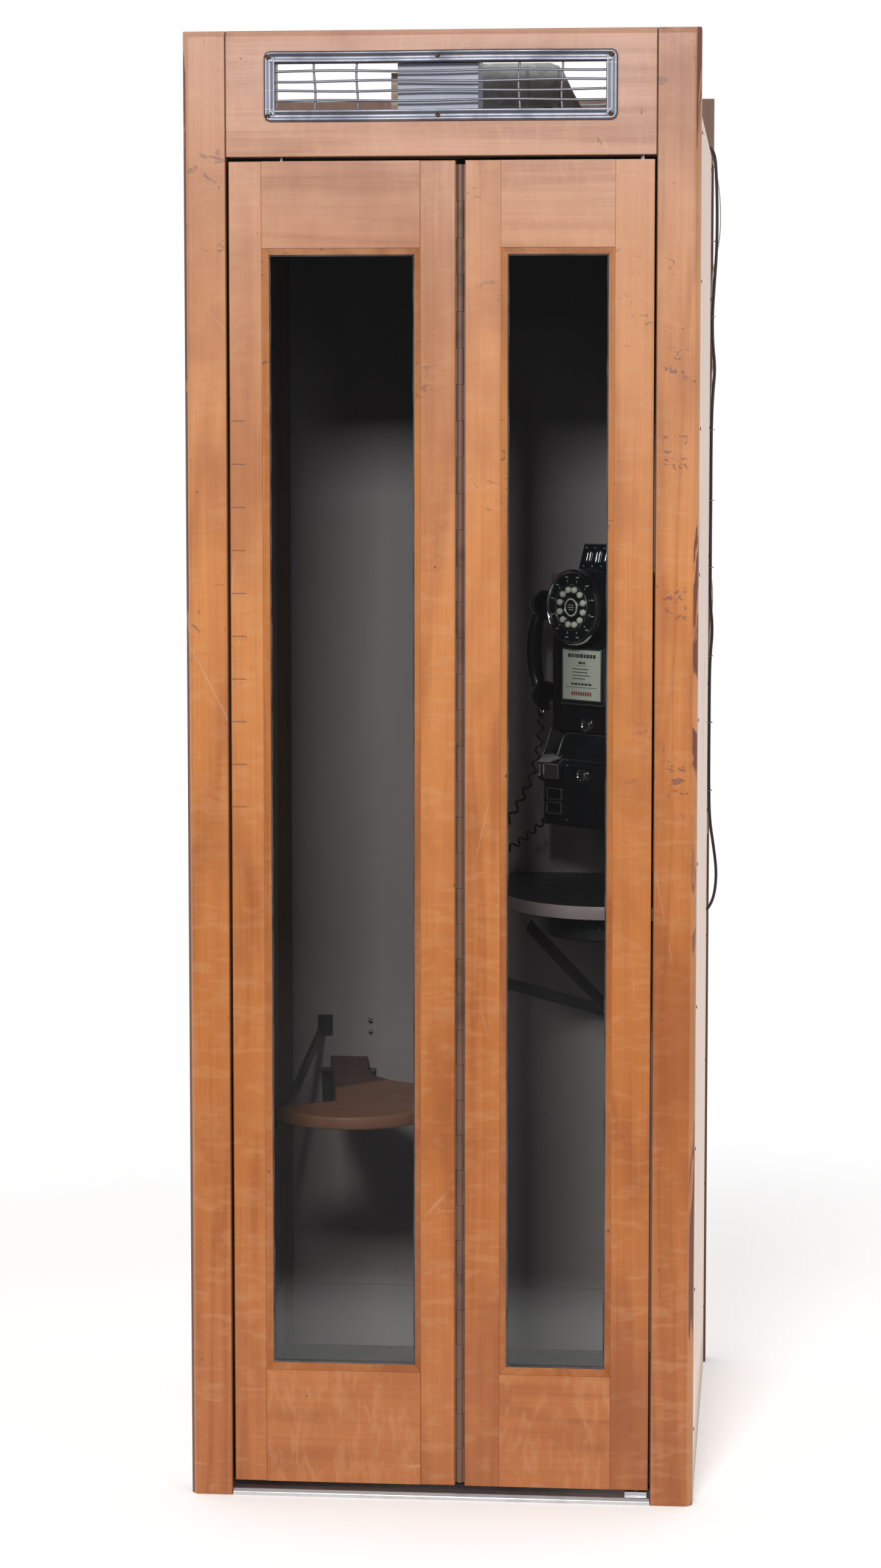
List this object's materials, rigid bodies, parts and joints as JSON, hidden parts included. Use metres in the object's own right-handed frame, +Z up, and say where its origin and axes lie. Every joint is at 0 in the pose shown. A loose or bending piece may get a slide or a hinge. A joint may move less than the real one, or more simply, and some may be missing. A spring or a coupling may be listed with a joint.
{
  "type": "telephone booth",
  "caption": "Wooden indoor telephone booth with a glazed bifold door, vent grille, corner seat, shelf and a black push-button wall telephone inside.",
  "frame": {"origin": "middle of the base, on the floor", "axes": "+Z up, the door faces -Y, +X to the right of someone facing the door"},
  "size_m": [0.7622, 0.872, 2.134],
  "materials": {
    "varnished_maple": "worn clear varnish over maple, horizontal figure on the rails",
    "bare_ply": "unfinished plywood",
    "brown_batten": "brown stained batten",
    "taupe_lining": "painted hardboard, satin",
    "floor_covering": "worn dark floor covering",
    "dark_ceiling": "dark painted board",
    "door_glass": "clear float glass",
    "worn_aluminium": "scuffed extrusion",
    "grey_vent_steel": "dented pressed sheet, dull grey-blue",
    "bright_steel": "zinc plated",
    "hinge_steel": "oil-darkened steel",
    "white_nylon": "nylon",
    "grey_blue_paint": "satin paint",
    "frosted_lens": "frosted",
    "galvanised_sheet": "spangled zinc",
    "black_cable": "black sheath",
    "seat_plywood": "varnished plywood, worn edge",
    "black_steel": "black paint",
    "shelf_board": "dark laminate top with a taupe edge",
    "black_enamel": "gloss black enamel",
    "polished_chrome": "polished",
    "black_plastic": "gloss",
    "cream_plastic": "gloss"
  },
  "bodies": {
    "booth": {"bell_cable": "black_cable", "ceiling_board": "dark_ceiling", "coin_head": "black_enamel", "coin_return": "polished_chrome", "dial_plate": "black_plastic", "door_track": "bright_steel", "fan_housing": "galvanised_sheet", "floor_board": "floor_covering", "front_stiles": "varnished_maple", "handset_cord": "black_cable", "header": "varnished_maple", "lamp_housing": "grey_blue_paint", "lamp_lens": "frosted_lens", "phone_board": "taupe_lining", "phone_lower_case": "black_enamel", "phone_upper_case": "black_enamel", "pivot_brackets": "bright_steel", "rear_frame": "brown_batten", "rear_panel": "bare_ply", "seat_board": "seat_plywood", "seat_stay": "black_steel", "shelf_board": "shelf_board", "shelf_braces": "black_steel", "shelf_tray": "black_steel", "side_panels": "bare_ply", "threshold": "worn_aluminium", "vent_grille": "grey_vent_steel", "wall_lining": "taupe_lining"},
    "jamb_leaf": {"jamb_leaf_stiles": "varnished_maple", "jamb_leaf_rails": "varnished_maple", "jamb_leaf_beads": "varnished_maple", "jamb_leaf_glass": "door_glass", "hinge_jamb_half": "hinge_steel", "pivot_pins": "bright_steel"},
    "lead_leaf": {"lead_leaf_stiles": "varnished_maple", "lead_leaf_rails": "varnished_maple", "lead_leaf_beads": "varnished_maple", "lead_leaf_glass": "door_glass", "hinge_lead_half": "hinge_steel", "guide_pin": "bright_steel"},
    "guide_roller": {"guide_roller": "white_nylon"},
    "fan_rotor": {"fan_rotor": "bright_steel"},
    "hook_lever": {"hook_lever": "polished_chrome"},
    "handset": {"handset": "black_plastic"},
    "vault_door": {"vault_door": "black_enamel"},
    "vault_lock": {"vault_lock": "polished_chrome"},
    "coin_return_flap": {"coin_return_flap": "polished_chrome"},
    "upper_lock": {"upper_lock": "polished_chrome"},
    "dial_button_01": {"dial_button_01": "cream_plastic"},
    "dial_button_02": {"dial_button_02": "cream_plastic"},
    "dial_button_03": {"dial_button_03": "cream_plastic"},
    "dial_button_04": {"dial_button_04": "cream_plastic"},
    "dial_button_05": {"dial_button_05": "cream_plastic"},
    "dial_button_06": {"dial_button_06": "cream_plastic"},
    "dial_button_07": {"dial_button_07": "cream_plastic"},
    "dial_button_08": {"dial_button_08": "cream_plastic"},
    "dial_button_09": {"dial_button_09": "cream_plastic"},
    "dial_button_10": {"dial_button_10": "cream_plastic"},
    "dial_button_11": {"dial_button_11": "cream_plastic"},
    "dial_button_12": {"dial_button_12": "cream_plastic"}
  },
  "joints": [
    {"name": "jamb_leaf_swing", "type": "hinge", "parent": "booth", "child": "jamb_leaf", "pos_m": [0.287, -0.414, 1], "axis": [0, 0, 1], "range_deg": [-85, 0]},
    {"name": "lead_leaf_fold", "type": "hinge", "parent": "jamb_leaf", "child": "lead_leaf", "pos_m": [0.0283, -0.43, 1], "axis": [0, 0, 1], "range_deg": [0, 170]},
    {"name": "guide_roller_spin", "type": "hinge", "parent": "lead_leaf", "child": "guide_roller", "pos_m": [-0.2304, -0.414, 1.965], "axis": [0, 0, 1], "continuous": true},
    {"name": "fan_spin", "type": "hinge", "parent": "booth", "child": "fan_rotor", "pos_m": [0.096, -0.16, 2.03], "axis": [0, 0, 1], "continuous": true},
    {"name": "handset_lift", "type": "slide", "parent": "booth", "child": "handset", "axis": [-0.6012, -0.1771, 0.7792], "range_m": [0, 0.12]},
    {"name": "hook_rise", "type": "hinge", "parent": "booth", "child": "hook_lever", "pos_m": [0.15235, 0.25851, 1.126], "axis": [0.7071, 0.7071, 0], "range_deg": [0, 6]},
    {"name": "vault_door_pull", "type": "slide", "parent": "booth", "child": "vault_door", "axis": [-0.7071, -0.7071, 0], "range_m": [0, 0.06]},
    {"name": "vault_lock_turn", "type": "hinge", "parent": "vault_door", "child": "vault_lock", "pos_m": [0.17427, 0.17437, 1.015], "axis": [0.7071, 0.7071, 0], "range_deg": [0, 90]},
    {"name": "upper_lock_turn", "type": "hinge", "parent": "booth", "child": "upper_lock", "pos_m": [0.17993, 0.18568, 1.095], "axis": [0.7071, 0.7071, 0], "range_deg": [0, 90]},
    {"name": "coin_return_flap_swing", "type": "hinge", "parent": "booth", "child": "coin_return_flap", "pos_m": [0.12124, 0.22033, 1.0264], "axis": [0.7071, -0.7071, 0], "range_deg": [0, 35]},
    {"name": "dial_button_01_press", "type": "slide", "parent": "booth", "child": "dial_button_01", "axis": [0.7071, 0.7071, 0], "range_m": [0, 0.003], "stiffness_N_per_m": 300},
    {"name": "dial_button_02_press", "type": "slide", "parent": "booth", "child": "dial_button_02", "axis": [0.7071, 0.7071, 0], "range_m": [0, 0.003], "stiffness_N_per_m": 300},
    {"name": "dial_button_03_press", "type": "slide", "parent": "booth", "child": "dial_button_03", "axis": [0.7071, 0.7071, 0], "range_m": [0, 0.003], "stiffness_N_per_m": 300},
    {"name": "dial_button_04_press", "type": "slide", "parent": "booth", "child": "dial_button_04", "axis": [0.7071, 0.7071, 0], "range_m": [0, 0.003], "stiffness_N_per_m": 300},
    {"name": "dial_button_05_press", "type": "slide", "parent": "booth", "child": "dial_button_05", "axis": [0.7071, 0.7071, 0], "range_m": [0, 0.003], "stiffness_N_per_m": 300},
    {"name": "dial_button_06_press", "type": "slide", "parent": "booth", "child": "dial_button_06", "axis": [0.7071, 0.7071, 0], "range_m": [0, 0.003], "stiffness_N_per_m": 300},
    {"name": "dial_button_07_press", "type": "slide", "parent": "booth", "child": "dial_button_07", "axis": [0.7071, 0.7071, 0], "range_m": [0, 0.003], "stiffness_N_per_m": 300},
    {"name": "dial_button_08_press", "type": "slide", "parent": "booth", "child": "dial_button_08", "axis": [0.7071, 0.7071, 0], "range_m": [0, 0.003], "stiffness_N_per_m": 300},
    {"name": "dial_button_09_press", "type": "slide", "parent": "booth", "child": "dial_button_09", "axis": [0.7071, 0.7071, 0], "range_m": [0, 0.003], "stiffness_N_per_m": 300},
    {"name": "dial_button_10_press", "type": "slide", "parent": "booth", "child": "dial_button_10", "axis": [0.7071, 0.7071, 0], "range_m": [0, 0.003], "stiffness_N_per_m": 300},
    {"name": "dial_button_11_press", "type": "slide", "parent": "booth", "child": "dial_button_11", "axis": [0.7071, 0.7071, 0], "range_m": [0, 0.003], "stiffness_N_per_m": 300},
    {"name": "dial_button_12_press", "type": "slide", "parent": "booth", "child": "dial_button_12", "axis": [0.7071, 0.7071, 0], "range_m": [0, 0.003], "stiffness_N_per_m": 300}
  ],
  "couplings": [
    {"joint": "lead_leaf_fold", "follows": "jamb_leaf_swing", "ratio": -2},
    {"joint": "hook_rise", "follows": "handset_lift", "rad_per_m": 0.87}
  ]
}
